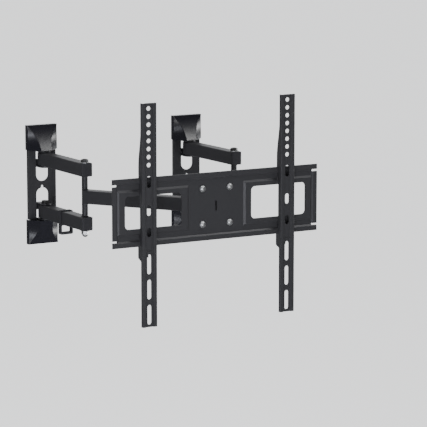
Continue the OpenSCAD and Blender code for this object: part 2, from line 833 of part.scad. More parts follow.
module plate_bolts() {
    cap_r = 6.5;
    cap_h = 4.5;
    ball = (cap_r * cap_r + cap_h * cap_h) / (2 * cap_h);
    front = plate_off - rim_d;
    color(zinc) at_head() for (x = [-1, 1], z = [-1, 1])
        translate([x * plate_bolt_x / 2, -front, plate_z + z * plate_bolt_z / 2]) rotate([90, 0, 0]) {
            translate([0, 0, -plate_t - tilt_t - nut_h]) cylinder(r = bolt_r, h = plate_t + tilt_t + nut_h + 1);
            intersection() {
                translate([0, 0, cap_h - ball]) sphere(r = ball);
                cylinder(r = cap_r + 1, h = cap_h + 1);
            }
        }
}

module plate_nuts() {
    back = tilt_back - tilt_t;
    color(zinc) at_head() for (x = [-1, 1], z = [-1, 1])
        translate([x * plate_bolt_x / 2, -back, plate_z + z * plate_bolt_z / 2]) rotate([-90, 0, 0])
            difference() {
                hex(tilt_nut_r, nut_h - 1);
                translate([0, 0, -1]) cylinder(r = bolt_r + thread_gap, h = nut_h + 2);
            }
}

// ---- rails ----

// Cross-section of a rail (across, back from the face)
module rail_face() {
    h = rail_w / 2;
    g = groove_w / 2;
    s = g + groove_slope;
    t = rail_t;
    polygon([
        [-h + 1, 0], [-s, 0], [-g, groove_d], [g, groove_d], [s, 0], [h - 1, 0], [h, 1],
        [h, t], [s + 1, t], [g + 1, groove_d + t], [-g - 1, groove_d + t], [-s - 1, t], [-h, t], [-h, 1]
    ]);
}

// Side flange of a rail as (back from the face, height over the plate's centre)
module rail_flange() {
    front = 0.5;
    end_d = 7;
    near = rail_off - 0.5;
    deep = rail_off + hook_out;
    tail = rail_off + screw_y + 3;
    hook_len = 6;
    rail_bottom = rail_top - rail_len;
    swell = [for (k = [0:8]) [end_d + (deep - end_d) * (1 - cos(k * 22.5)) / 2, lip_z + 90 - k * 9]];
    rise = [for (k = [0:4]) [tail - (tail - end_d) * (1 - cos(k * 45)) / 2, -lip_z - 22 - k * 1.5]];
    polygon(concat(
        [[front, rail_bottom], [front, rail_top], [end_d, rail_top]],
        swell,
        [
            [deep, lip_z - hook_len], [rail_off + hook_in, lip_z - hook_len],
            [rail_off + hook_in, lip_z + 0.4], [near, lip_z + 0.4],
            [near, -lip_z - 0.6], [tail, -lip_z - 0.6]
        ],
        rise,
        [[end_d, rail_bottom]]
    ));
}

module rail_holes() {
    for (i = [0:hole_count - 1])
        translate([0, rail_top - hole_start - i * hole_pitch]) circle(hole_d / 2);
    for (i = [0:2])
        translate([0, rail_top - slot_mid + i * long_pitch]) slot(hole_d, long_slot);
    for (k = short_slots)
        translate([0, rail_top - k[0]]) slot(hole_d, k[1]);
}

module at_rail(s) {
    at_plate() translate([s * rail_spacing / 2, -rail_off, 0]) children();
}

module rail(s) {
    half = rail_w / 2;
    color(coat) at_rail(s) difference() {
        union() {
            translate([0, 0, rail_top - rail_len]) linear_extrude(rail_len) rail_face();
            for (x = [-half, half - rail_t]) translate([x, 0, 0]) rotate([90, 0, 90])
                linear_extrude(rail_t) rail_flange();
            // tab between the flanges that holds the locking screw
            translate([-half + 1, rail_t - 0.5, -tab_z - tab_t])
                cube([rail_w - 2, rail_off + screw_y + 3 - rail_t + 0.5, tab_t]);
        }
        upright(-20, 40) rail_holes();
        translate([0, rail_off + screw_y, -tab_z - tab_t - 1])
            cylinder(r = screw_r + thread_gap, h = tab_t + 2);
    }
}

module rail_screw(s) {
    color(zinc) at_rail(s) translate([0, rail_off + screw_y, 0]) {
        translate([0, 0, -tab_z - 8]) cylinder(r = screw_r, h = tab_z + 8 - lip_z + 5);
        translate([0, 0, -tab_z - 7.5 - screw_head_h]) cylinder(r = 4.5, h = screw_head_h);
    }
}

// ---- the two sides ----

module on_wall(right) {
    translate([right ? bracket_spacing : 0, 0, 0]) children();
}

function wall_of(right) = right ? right_wall : left_wall;
function elbow_of(right) = right ? right_elbow : left_elbow;
function arm_angle(right) = right ? right_arm_angle : left_arm_angle;
function forearm_angle(right) = right ? right_forearm_angle : left_forearm_angle;

module on_arm(right) {
    at_arm(wall_of(right), arm_angle(right)) children();
}

module at_elbow(right) {
    at_arm(elbow_of(right), arm_angle(right)) children();
}

module left_wall_bracket() { on_wall(false) wall_bracket(); }
module left_upper_cover() { on_wall(false) cover(); }
module left_lower_cover() { on_wall(false) mirror([0, 0, 1]) cover(); }
module left_wall_pivot_bolts() { on_wall(false) wall_pivot_bolts(); }
module left_wall_bushes() { on_wall(false) wall_bushes(); }
module left_upper_arm() { on_arm(false) first_arm(); }
module left_lower_arm() { on_arm(false) mirror([0, 0, 1]) first_arm(); }
module left_arm_caps() { on_arm(false) arm_caps(); }
module left_cable_clip() { on_arm(false) cable_clip(); }
module left_elbow_bolt() { at_elbow(false) elbow_bolt(); }
module left_elbow_washers() { at_elbow(false) elbow_washers(); }
module left_elbow_cap_nut() { at_elbow(false) elbow_cap_nut(); }
module left_elbow_bushes() { at_elbow(false) elbow_bushes(); }
module left_forearm() { at_arm(left_elbow, left_forearm_angle) forearm(); }

module right_wall_bracket() { on_wall(true) wall_bracket(); }
module right_upper_cover() { on_wall(true) cover(); }
module right_lower_cover() { on_wall(true) mirror([0, 0, 1]) cover(); }
module right_wall_pivot_bolts() { on_wall(true) wall_pivot_bolts(); }
module right_wall_bushes() { on_wall(true) wall_bushes(); }
module right_upper_arm() { on_arm(true) first_arm(); }
module right_lower_arm() { on_arm(true) mirror([0, 0, 1]) first_arm(); }
module right_arm_caps() { on_arm(true) arm_caps(); }
module right_cable_clip() { on_arm(true) cable_clip(); }
module right_elbow_bolt() { at_elbow(true) elbow_bolt(); }
module right_elbow_washers() { at_elbow(true) elbow_washers(); }
module right_elbow_cap_nut() { at_elbow(true) elbow_cap_nut(); }
module right_elbow_bushes() { at_elbow(true) elbow_bushes(); }
module right_forearm() { at_arm(right_elbow, right_forearm_angle) forearm(); }

module left_rail() { rail(-1); }
module right_rail() { rail(1); }
module left_rail_screw() { rail_screw(-1); }
module right_rail_screw() { rail_screw(1); }

left_wall_bracket();
left_upper_cover();
left_lower_cover();
left_wall_pivot_bolts();
left_wall_bushes();
left_upper_arm();
left_lower_arm();
left_arm_caps();
left_cable_clip();
left_elbow_bolt();
left_elbow_washers();
left_elbow_cap_nut();
left_elbow_bushes();
left_forearm();
right_wall_bracket();
right_upper_cover();
right_lower_cover();
right_wall_pivot_bolts();
right_wall_bushes();
right_upper_arm();
right_lower_arm();
right_arm_caps();
right_cable_clip();
right_elbow_bolt();
right_elbow_washers();
right_elbow_cap_nut();
right_elbow_bushes();
right_forearm();
head_bracket();
head_pivot_bolts();
head_pivot_nuts();
head_bushes();
tilt_pivot_bolts();
tilt_pivot_nuts();
tilt_lock_bolts();
tilt_knobs();
tilt_frame();
plate_nuts();
tv_plate();
plate_bolts();
left_rail();
right_rail();
left_rail_screw();
right_rail_screw();
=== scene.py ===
"""Looks for a full motion television wall mount: finishes, fine pieces, studio and camera."""

import json
from math import cos, pi, radians, sin

import bpy
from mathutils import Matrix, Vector


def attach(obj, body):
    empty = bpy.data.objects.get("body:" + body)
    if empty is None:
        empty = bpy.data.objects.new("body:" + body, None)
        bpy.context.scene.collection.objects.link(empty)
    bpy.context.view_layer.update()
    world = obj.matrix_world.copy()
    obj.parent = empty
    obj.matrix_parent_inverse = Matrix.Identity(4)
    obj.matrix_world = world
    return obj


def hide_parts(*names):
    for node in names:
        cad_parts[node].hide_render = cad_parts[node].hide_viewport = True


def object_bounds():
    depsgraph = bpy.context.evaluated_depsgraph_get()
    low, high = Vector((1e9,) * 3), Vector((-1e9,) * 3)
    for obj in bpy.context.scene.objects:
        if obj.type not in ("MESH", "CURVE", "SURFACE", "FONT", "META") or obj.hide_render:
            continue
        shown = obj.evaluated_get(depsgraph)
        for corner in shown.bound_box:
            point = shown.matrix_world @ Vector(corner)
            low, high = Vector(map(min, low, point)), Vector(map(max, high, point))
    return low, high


bl_info = {
    "name": "Television wall mount",
    "version": (1, 0, 0),
    "blender": (4, 5, 0),
    "location": "View3D > Sidebar > Wall mount",
    "description": "Finishes the wall mount's pieces and sets them in a small studio",
    "category": "Object",
}

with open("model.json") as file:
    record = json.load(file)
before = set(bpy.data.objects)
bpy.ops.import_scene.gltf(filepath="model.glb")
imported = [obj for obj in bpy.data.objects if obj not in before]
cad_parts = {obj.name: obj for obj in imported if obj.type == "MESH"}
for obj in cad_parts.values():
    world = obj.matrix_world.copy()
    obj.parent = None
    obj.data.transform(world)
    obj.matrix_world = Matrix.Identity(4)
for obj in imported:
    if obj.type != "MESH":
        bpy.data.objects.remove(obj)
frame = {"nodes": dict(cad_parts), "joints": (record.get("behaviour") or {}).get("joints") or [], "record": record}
CAD_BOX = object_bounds()

MM = 0.001
SIDES = ("left", "right")

# a copied CAD mesh: corners nearer than this become one, and so do faces within this many degrees
CORNER_GAP_MM = 0.002
FLAT_ANGLE = 0.6

# the angle past which an edge is rounded and looks sharp, in degrees, for each kind of piece
SHEET_ANGLE = 32
PLATE_ANGLE = 28
COVER_ANGLE = 40
TURNED_ANGLE = 34
BEAD_ANGLE = 60

# the elbow's post and the forearm's half height, in millimetres, which the weld beads follow
POST_RADIUS = 6.0
FOREARM_HALF_HEIGHT = 13.0
# how far the beads stand off the post, round it and along it, and off the forearm's end
ROUND_STANDOFF = 0.3
SEAM_STANDOFF = 0.2
SEAM_AHEAD = 0.7
# a bead runs this many degrees to each side of the forearm, in this many steps
BEAD_REACH = 80
BEAD_STEPS = 15
# one ripple of a bead against its half width: along the run, across it and upwards
RIPPLE_SHAPE = (0.55, 1.0, 0.9)

# refractive indices of the clear coat's resin and the two plastics
EPOXY_IOR = 1.5
ABS_IOR = 1.54
NYLON_IOR = 1.53

# most of a noise lies between these
NOISE_LOW = 0.3
NOISE_HIGH = 0.7

# the stage: the camera's sensor in millimetres, how far it sees, the floor's width and its glow
SENSOR_WIDTH = 36
SIGHT = 50
FLOOR_WIDTH = 90
FLOOR_GLOW = 1.5
# the room's strength as light, as seen, and as mirrored from in front of and behind the mount
ROOM_LIGHT = 0.1
ROOM_SEEN = 1.5
MIRRORED_FRONT = 0.02
MIRRORED_BACK = 1.5
# the mirrored room turns from dark to pale between these cosines of the angle to the line of sight
PALE_FROM = 0.62
PALE_TO = 0.95

# each light's name, place from the mount's middle, width and height (metres), watts and colour
LIGHTS = (
    ("overhead", (-0.5, -0.2, 2.6), 1.6, 1.6, 34, "#ffffff"),
    ("upper_front", (1.12, -0.95, 1.89), 0.75, 0.5, 17, "#ffffff"),
    ("left_strip", (-1.39, -1.92, -0.35), 0.4, 1.9, 18, "#f4f6ff"),
    ("front_strip", (-0.50, -2.10, -0.10), 0.25, 1.9, 10, "#ffffff"),
    ("right_strip", (2.36, 0.09, -0.25), 0.6, 1.9, 34, "#ffffff"),
    ("rim", (-1.8, 1.4, 1.6), 1.0, 1.0, 9, "#ffffff"),
)

# each CAD node's finish and body, and the joints by name
SLOT_OF = {part["node"]: part["material_slot"] for part in frame["record"]["subparts"]}
BODY_OF = {
    node: body
    for body, members in frame["record"]["behaviour"]["bodies"].items()
    for node in members
}
JOINTS = {joint["name"]: joint for joint in frame["joints"]}


# ---- colour and node helpers ----


def linear(hex_colour):
    """An sRGB hex colour as linear red, green and blue."""
    channels = [int(hex_colour[i:i + 2], 16) / 255 for i in (1, 3, 5)]
    return tuple(c / 12.92 if c <= 0.04045 else ((c + 0.055) / 1.055) ** 2.4 for c in channels)


def add_node(tree, kind, values=None, links=None, **settings):
    """Adds a shader node, sets its properties and sockets, and links other sockets into it."""
    made = tree.nodes.new(kind)
    for name, value in settings.items():
        setattr(made, name, value)
    for socket, value in (values or {}).items():
        made.inputs[socket].default_value = value
    for socket, source in (links or {}).items():
        tree.links.new(source, made.inputs[socket])
    return made


def new_material(name):
    """Makes a material; returns its tree, its Principled shader and object coordinates."""
    material = bpy.data.materials.new(name)
    material.use_nodes = True
    tree = material.node_tree
    shader = tree.nodes["Principled BSDF"]
    places = add_node(tree, "ShaderNodeTexCoord").outputs["Object"]
    return tree, shader, places


def blend_colours(tree, factor, first, second):
    """A mix of two linear colours by a factor from 0 to 1."""
    mixed = add_node(tree, "ShaderNodeMix", data_type="RGBA")
    mixed.inputs["A"].default_value = (*first, 1)
    mixed.inputs["B"].default_value = (*second, 1)
    tree.links.new(factor, mixed.inputs["Factor"])
    return mixed.outputs["Result"]


def spread(tree, source, low, high, to_low, to_high):
    """A value's range stretched onto another, held at its ends."""
    ends = {"From Min": low, "From Max": high, "To Min": to_low, "To Max": to_high}
    ranged = add_node(tree, "ShaderNodeMapRange", ends, {"Value": source})
    return ranged.outputs["Result"]


def grain(tree, places, size_mm, detail=2.0, roughness=0.5):
    """Noise whose blotches are about size_mm across."""
    noise = add_node(
        tree,
        "ShaderNodeTexNoise",
        {"Scale": 1 / (size_mm * MM), "Detail": detail, "Roughness": roughness},
        {"Vector": places},
    )
    return noise.outputs["Fac"]


def vary_roughness(tree, shader, noise, smoothest, roughest, low=NOISE_LOW):
    """Lets a noise move the shader's roughness between two values."""
    roughness = spread(tree, noise, low, NOISE_HIGH, smoothest, roughest)
    tree.links.new(roughness, shader.inputs["Roughness"])


def worn_edges(tree, radius_mm):
    """1 on edges and 0 on flats, and the rounded normal whose turn from the true one gives it."""
    flat_cosine = 0.995
    edge_cosine = 0.80
    rounded = add_node(tree, "ShaderNodeBevel", {"Radius": radius_mm * MM}, samples=6)
    true = add_node(tree, "ShaderNodeNewGeometry")
    dot = add_node(
        tree,
        "ShaderNodeVectorMath",
        links={0: rounded.outputs["Normal"], 1: true.outputs["Normal"]},
        operation="DOT_PRODUCT",
    )
    wear = spread(tree, dot.outputs["Value"], flat_cosine, edge_cosine, 0.0, 1.0)
    return wear, rounded.outputs["Normal"]


def relief(tree, height, depth_mm, normal=None):
    """A bump of a real depth, over an optional rounded normal."""
    links = {"Height": height}
    if normal is not None:
        links["Normal"] = normal
    bump = add_node(tree, "ShaderNodeBump", {"Strength": 1.0, "Distance": depth_mm * MM}, links)
    return bump.outputs["Normal"]


# ---- materials ----


def powder_coated_steel(name, colour, rubbed, roughness, edge_mm):
    """Baked epoxy powder on steel: a satin skin with a fine orange peel, thin and grey on edges."""
    tree, shader, places = new_material(name)
    wear, rounded = worn_edges(tree, edge_mm)
    # edges rub unevenly over a few centimetres
    patches = spread(tree, grain(tree, places, 18, 3), 0.42, 0.62, 0.15, 1.0)
    rub = add_node(tree, "ShaderNodeMath", links={0: wear, 1: patches}, operation="MULTIPLY")
    # the flats are very slightly clouded
    cloud = spread(tree, grain(tree, places, 35, 3), 0.35, 0.65, 0.0, 0.08)
    amount = add_node(
        tree, "ShaderNodeMath", links={0: rub.outputs[0], 1: cloud}, operation="MAXIMUM"
    )
    skin = blend_colours(tree, amount.outputs[0], colour, rubbed)
    tree.links.new(skin, shader.inputs["Base Color"])
    # hands leave smoother and duller smudges a few centimetres across
    smudges = grain(tree, places, 24, 4, 0.6)
    vary_roughness(tree, shader, smudges, roughness - 0.05, roughness + 0.06)
    # the peel is about 1 mm on the real coat; drawn at 1.6 mm so that it shows
    peel = grain(tree, places, 1.6, 1)
    tree.links.new(relief(tree, peel, 0.05, rounded), shader.inputs["Normal"])
    shader.inputs["IOR"].default_value = EPOXY_IOR
    # dark pigment stands proud in the satin skin and takes some of its sheen
    shader.inputs["Specular IOR Level"].default_value = 0.3


def moulded_gloss_abs(name, colour):
    """Polished-tool ABS: deep black and shiny, with the slow waves that moulding leaves."""
    tree, shader, places = new_material(name)
    haze = grain(tree, places, 22, 4, 0.6)
    vary_roughness(tree, shader, haze, 0.2, 0.28, low=0.35)
    # dust settles in specks a few millimetres apart
    dust = spread(tree, grain(tree, places, 6, 5, 0.7), 0.62, 0.78, 0.0, 0.35)
    skin = blend_colours(tree, dust, colour, linear("#0d0e0f"))
    tree.links.new(skin, shader.inputs["Base Color"])
    waves = grain(tree, places, 14, 1)
    tree.links.new(relief(tree, waves, 0.12), shader.inputs["Normal"])
    shader.inputs["IOR"].default_value = ABS_IOR
    shader.inputs["Coat Weight"].default_value = 0.2
    shader.inputs["Coat Roughness"].default_value = 0.08


def spark_eroded_abs(name, colour):
    """ABS from a spark-eroded tool: an even, fine matt grain that greys a little where handled."""
    tree, shader, places = new_material(name)
    wear, rounded = worn_edges(tree, 0.6)
    skin = blend_colours(tree, wear, colour, linear("#2c2d30"))
    tree.links.new(skin, shader.inputs["Base Color"])
    vary_roughness(tree, shader, grain(tree, places, 9, 3), 0.42, 0.58)
    # the grain is 0.2 mm on the real piece; drawn at 0.8 mm so that it shows
    sparks = grain(tree, places, 0.8, 2)
    tree.links.new(relief(tree, sparks, 0.04, rounded), shader.inputs["Normal"])
    shader.inputs["IOR"].default_value = ABS_IOR


def nylon(name, colour):
    """Turned nylon: waxy and soft-edged, with faint mottling."""
    tree, shader, places = new_material(name)
    mottle = grain(tree, places, 5, 3)
    skin = blend_colours(tree, mottle, colour, linear("#343537"))
    tree.links.new(skin, shader.inputs["Base Color"])
    vary_roughness(tree, shader, grain(tree, places, 3, 2), 0.38, 0.5)
    shader.inputs["IOR"].default_value = NYLON_IOR
    shader.inputs["Subsurface Weight"].default_value = 0.05


def black_oxide_steel(name, colour):
    """Oxide-blacked and oiled steel: dark metal whose corners polish back to grey."""
    tree, shader, places = new_material(name)
    wear, rounded = worn_edges(tree, 0.5)
    skin = blend_colours(tree, wear, colour, linear("#77797c"))
    tree.links.new(skin, shader.inputs["Base Color"])
    vary_roughness(tree, shader, grain(tree, places, 4, 3), 0.3, 0.46)
    # the oxide follows the steel's own fine pits
    pits = grain(tree, places, 1.2, 2)
    tree.links.new(relief(tree, pits, 0.02, rounded), shader.inputs["Normal"])
    # the oxide film hides a little of the metal
    shader.inputs["Metallic"].default_value = 0.85


def bright_zinc_plate(name, colour):
    """Barrel-plated zinc with a clear passivate: bright, a little cloudy, with tumbling marks."""
    tree, shader, places = new_material(name)
    cloud = spread(tree, grain(tree, places, 5, 4, 0.6), NOISE_LOW, NOISE_HIGH, 0.0, 1.0)
    skin = blend_colours(tree, cloud, colour, linear("#c6c9ce"))
    tree.links.new(skin, shader.inputs["Base Color"])
    vary_roughness(tree, shader, grain(tree, places, 2.5, 3), 0.24, 0.32)
    marks = grain(tree, places, 2.0, 1)
    tree.links.new(relief(tree, marks, 0.003), shader.inputs["Normal"])
    shader.inputs["Metallic"].default_value = 1.0


def painted_floor():
    """Matt emulsion on a studio floor: pale, with a slight roller mottle."""
    name = "painted_floor"
    tree, shader, places = new_material(name)
    mottle = grain(tree, places, 60, 3)
    paint = blend_colours(tree, mottle, linear("#e9eaec"), linear("#f1f2f3"))
    tree.links.new(paint, shader.inputs["Base Color"])
    shader.inputs["Roughness"].default_value = 0.85
    # the floor's own faint glow keeps it pale without lighting the black mount from all round
    shader.inputs["Emission Color"].default_value = (*linear("#f4f5f6"), 1)
    shader.inputs["Emission Strength"].default_value = FLOOR_GLOW
    return bpy.data.materials[name]


def studio_air(azimuth):
    """The room: weak as light and pale to the eye, and mirrored pale behind and dark in front."""
    world = bpy.data.worlds.new("studio")
    world.use_nodes = True
    tree = world.node_tree
    ray = add_node(tree, "ShaderNodeLightPath").outputs
    ahead = add_node(
        tree,
        "ShaderNodeVectorMath",
        {1: (sin(azimuth), cos(azimuth), 0)},
        {0: add_node(tree, "ShaderNodeTexCoord").outputs["Object"]},
        operation="DOT_PRODUCT",
    )
    mirrored = spread(
        tree, ahead.outputs["Value"], PALE_FROM, PALE_TO, MIRRORED_FRONT, MIRRORED_BACK
    )
    reflected = add_node(
        tree,
        "ShaderNodeMix",
        {"A": ROOM_LIGHT},
        {"Factor": ray["Is Glossy Ray"], "B": mirrored},
        data_type="FLOAT",
    )
    strength = add_node(
        tree,
        "ShaderNodeMix",
        {"B": ROOM_SEEN},
        {"Factor": ray["Is Camera Ray"], "A": reflected.outputs["Result"]},
        data_type="FLOAT",
    )
    background = tree.nodes["Background"]
    background.inputs["Color"].default_value = (*linear("#f2f3f5"), 1)
    tree.links.new(strength.outputs["Result"], background.inputs["Strength"])
    return world


# ---- mesh helpers ----


def select_only(piece):
    """Deselects everything else and makes one object active."""
    bpy.ops.object.select_all(action="DESELECT")
    piece.select_set(True)
    bpy.context.view_layer.objects.active = piece


def set_in_place(piece):
    """Leaves a finished piece at the origin, unturned and unscaled, with its place in its mesh."""
    select_only(piece)
    bpy.ops.object.transform_apply(location=True, rotation=True, scale=True)


def apply_bevel(piece, width_mm, angle):
    """Rounds the edges of a piece that are sharper than an angle."""
    select_only(piece)
    bevel = piece.modifiers.new("edges", "BEVEL")
    bevel.width = width_mm * MM
    bevel.segments = 2
    bevel.limit_method = "ANGLE"
    bevel.angle_limit = radians(angle)
    bpy.ops.object.modifier_apply(modifier=bevel.name)


def smooth(piece, angle):
    """Shades a piece smooth up to an angle, and keeps its large faces flat."""
    select_only(piece)
    bpy.ops.object.shade_smooth_by_angle(angle=radians(angle))
    normals = piece.modifiers.new("normals", "WEIGHTED_NORMAL")
    normals.keep_sharp = True
    normals.weight = 100
    bpy.ops.object.modifier_apply(modifier=normals.name)


def finish_piece(piece, name, node):
    """Names a piece and gives it a node's finish and body."""
    slot = SLOT_OF[node]
    piece.name = name
    piece.data.name = name
    piece.data.materials.clear()
    piece.data.materials.append(bpy.data.materials[slot])
    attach(piece, BODY_OF[node])


def dressed_copy(node, name, edge_mm, angle=SHEET_ANGLE):
    """Makes a copy of a CAD node with merged faces and rounded edges, which stands for the node."""
    source = frame["nodes"][node]
    copy = source.copy()
    copy.data = source.data.copy()
    # the copy is a new piece, so it drops the node's body and marks
    copy.parent = None
    for key in list(copy.keys()):
        del copy[key]
    bpy.context.scene.collection.objects.link(copy)
    select_only(copy)
    bpy.ops.object.mode_set(mode="EDIT")
    bpy.ops.mesh.select_all(action="SELECT")
    bpy.ops.mesh.remove_doubles(threshold=CORNER_GAP_MM * MM)
    bpy.ops.mesh.dissolve_limited(angle_limit=radians(FLAT_ANGLE))
    bpy.ops.object.mode_set(mode="OBJECT")
    apply_bevel(copy, edge_mm, angle)
    smooth(copy, angle)
    finish_piece(copy, name, node)
    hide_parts(node)


def forearm_line(side):
    """The elbow's place and the forearm's direction, from the two joints at its ends."""
    elbow = Vector(JOINTS[f"{side}_elbow_fold"]["pos_m"])
    eye = Vector(JOINTS[f"head_{side}_swivel"]["pos_m"])
    return elbow, (eye - elbow).normalized()


def bead_run(points, name, node, size_mm):
    """Lays a weld bead on a node: one flattened ripple after another, as one mesh."""
    bpy.ops.object.select_all(action="DESELECT")
    ripples = []
    for i, point in enumerate(points):
        ahead = points[min(i + 1, len(points) - 1)] - points[max(i - 1, 0)]
        bpy.ops.mesh.primitive_uv_sphere_add(
            segments=10,
            ring_count=7,
            radius=size_mm * MM,
            location=point,
            rotation=ahead.to_track_quat("X", "Z").to_euler(),
        )
        ripple = bpy.context.active_object
        ripple.scale = RIPPLE_SHAPE
        ripples.append(ripple)
    for ripple in ripples:
        ripple.select_set(True)
    bpy.context.view_layer.objects.active = ripples[0]
    bpy.ops.object.join()
    run = bpy.context.active_object
    set_in_place(run)
    smooth(run, BEAD_ANGLE)
    finish_piece(run, name, node)


# ---- settings ----


class MountFinish(bpy.types.PropertyGroup):
    """Colours and surface of the wall mount's finishes."""

    coat: bpy.props.FloatVectorProperty(
        name="Powder coat", description="Colour of the coated arms and brackets",
        subtype="COLOR", size=3, min=0, max=1, default=linear("#060607"),
    )
    plate_coat: bpy.props.FloatVectorProperty(
        name="Plate coat", description="Colour of the coated plate and rails",
        subtype="COLOR", size=3, min=0, max=1, default=linear("#080808"),
    )
    rubbed: bpy.props.FloatVectorProperty(
        name="Rubbed coat", description="Colour of the coat where its edges are rubbed",
        subtype="COLOR", size=3, min=0, max=1, default=linear("#2e3033"),
    )
    cover: bpy.props.FloatVectorProperty(
        name="Covers", description="Colour of the glossy wall covers",
        subtype="COLOR", size=3, min=0, max=1, default=linear("#050506"),
    )
    plastic: bpy.props.FloatVectorProperty(
        name="Small mouldings", description="Colour of the arm caps, cable clips and knobs",
        subtype="COLOR", size=3, min=0, max=1, default=linear("#111214"),
    )
    bush: bpy.props.FloatVectorProperty(
        name="Bushes", description="Colour of the nylon bushes",
        subtype="COLOR", size=3, min=0, max=1, default=linear("#242527"),
    )
    bolt: bpy.props.FloatVectorProperty(
        name="Black bolts", description="Colour of the blacked steel bolts",
        subtype="COLOR", size=3, min=0, max=1, default=linear("#222326"),
    )
    zinc: bpy.props.FloatVectorProperty(
        name="Zinc", description="Colour of the bright plated nuts and screws",
        subtype="COLOR", size=3, min=0, max=1, default=linear("#dadde2"),
    )
    coat_roughness: bpy.props.FloatProperty(
        name="Coat roughness", description="Roughness of the powder coat",
        subtype="FACTOR", min=0, max=1, default=0.26,
    )


class MountDetail(bpy.types.PropertyGroup):
    """Sizes of the small shapes added to the pieces."""

    sheet_edge: bpy.props.FloatProperty(
        name="Sheet edge", description="Rounding of the pressed sheet's edges, in millimetres",
        min=0, max=1, default=0.35,
    )
    moulded_edge: bpy.props.FloatProperty(
        name="Moulded edge", description="Rounding of the plastic pieces' edges, in millimetres",
        min=0, max=1, default=0.4,
    )
    fastener_edge: bpy.props.FloatProperty(
        name="Fastener edge", description="Rounding of the bolts' and nuts' edges, in millimetres",
        min=0, max=1, default=0.25,
    )
    bead: bpy.props.FloatProperty(
        name="Weld bead", description="Half width of a weld bead, in millimetres",
        min=0.5, max=2, default=1.3,
    )


class MountStage(bpy.types.PropertyGroup):
    """Camera, floor and lights."""

    camera_place: bpy.props.FloatVectorProperty(
        name="Camera", description="Place of the camera", subtype="TRANSLATION", unit="LENGTH",
        size=3, default=(-1.853, -4.206, 0.7225),
    )
    azimuth: bpy.props.FloatProperty(
        name="Azimuth", description="How far the camera looks towards +X", subtype="ANGLE",
        default=radians(28.1),
    )
    elevation: bpy.props.FloatProperty(
        name="Elevation", description="How far the camera looks down", subtype="ANGLE",
        default=radians(9.7),
    )
    lens: bpy.props.FloatProperty(
        name="Focal length", description="Focal length on a 36 mm sensor, in millimetres",
        min=1, default=195.1,
    )
    floor_drop: bpy.props.FloatProperty(
        name="Floor drop", description="How far the floor lies under the mount",
        unit="LENGTH", default=1.1,
    )


# ---- operators ----


class MOUNT_OT_finishes(bpy.types.Operator):
    """Makes one material for each finish in the record"""

    bl_idname = "mount.finishes"
    bl_label = "Finishes"

    def execute(self, context):
        finish = context.scene.mount_finish
        rough = finish.coat_roughness
        powder_coated_steel("black_coat", finish.coat, finish.rubbed, rough, 0.9)
        powder_coated_steel("plate_coat", finish.plate_coat, finish.rubbed, rough, 1.1)
        moulded_gloss_abs("gloss_cover", finish.cover)
        spark_eroded_abs("black_plastic", finish.plastic)
        nylon("nylon", finish.bush)
        black_oxide_steel("black_bolts", finish.bolt)
        bright_zinc_plate("zinc", finish.zinc)
        for node, piece in frame["nodes"].items():
            piece.data.materials.clear()
            piece.data.materials.append(bpy.data.materials[SLOT_OF[node]])
        return {"FINISHED"}


class MOUNT_OT_wall_brackets(bpy.types.Operator):
    """Rounds the edges of the two pressed wall brackets"""

    bl_idname = "mount.wall_brackets"
    bl_label = "Wall brackets"

    def execute(self, context):
        edge = context.scene.mount_detail.sheet_edge
        for side in SIDES:
            dressed_copy(f"{side}_wall_bracket", f"{side}_pressed_bracket", edge)
        return {"FINISHED"}


class MOUNT_OT_wall_covers(bpy.types.Operator):
    """Smooths the four glossy covers and rounds their rims"""

    bl_idname = "mount.wall_covers"
    bl_label = "Wall covers"

    def execute(self, context):
        edge = context.scene.mount_detail.moulded_edge
        for side in SIDES:
            for level in ("upper", "lower"):
                dressed_copy(f"{side}_{level}_cover", f"{side}_{level}_shell", edge, COVER_ANGLE)
        return {"FINISHED"}


class MOUNT_OT_arms(bpy.types.Operator):
    """Rounds the arm tubes, the forearms, their end caps and the cable clips"""

    bl_idname = "mount.arms"
    bl_label = "Arms"

    def execute(self, context):
        detail = context.scene.mount_detail
        for side in SIDES:
            dressed_copy(f"{side}_upper_arm", f"{side}_upper_tube", detail.sheet_edge)
            dressed_copy(f"{side}_lower_arm", f"{side}_lower_tube", detail.sheet_edge)
            dressed_copy(f"{side}_forearm", f"{side}_forearm_tube", detail.sheet_edge)
            dressed_copy(f"{side}_arm_caps", f"{side}_end_caps", detail.moulded_edge)
            dressed_copy(f"{side}_cable_clip", f"{side}_cable_holder", detail.moulded_edge)
        return {"FINISHED"}


class MOUNT_OT_weld_beads(bpy.types.Operator):
    """Lays the weld beads where each forearm tube meets its elbow post"""

    bl_idname = "mount.weld_beads"
    bl_label = "Weld beads"

    def execute(self, context):
        size = context.scene.mount_detail.bead
        up = Vector((0, 0, FOREARM_HALF_HEIGHT * MM))
        steps = [i / BEAD_STEPS for i in range(BEAD_STEPS + 1)]
        angles = [radians(BEAD_REACH * (2 * step - 1)) for step in steps]
        for side in SIDES:
            node = f"{side}_forearm"
            elbow, along = forearm_line(side)
            across = Vector((-along.y, along.x, 0))
            for sign, level in ((1, "top"), (-1, "under")):
                arc = [
                    elbow + sign * up
                    + (POST_RADIUS + ROUND_STANDOFF) * MM * (cos(a) * along + sin(a) * across)
                    for a in angles
                ]
                bead_run(arc, f"{side}_elbow_weld_{level}", node, size)
            for sign, flank in ((1, "outer"), (-1, "inner")):
                foot = (
                    elbow + SEAM_AHEAD * MM * along
                    + sign * (POST_RADIUS + SEAM_STANDOFF) * MM * across
                )
                seam = [foot + (2 * step - 1) * up for step in steps]
                bead_run(seam, f"{side}_elbow_weld_{flank}", node, size)
        return {"FINISHED"}


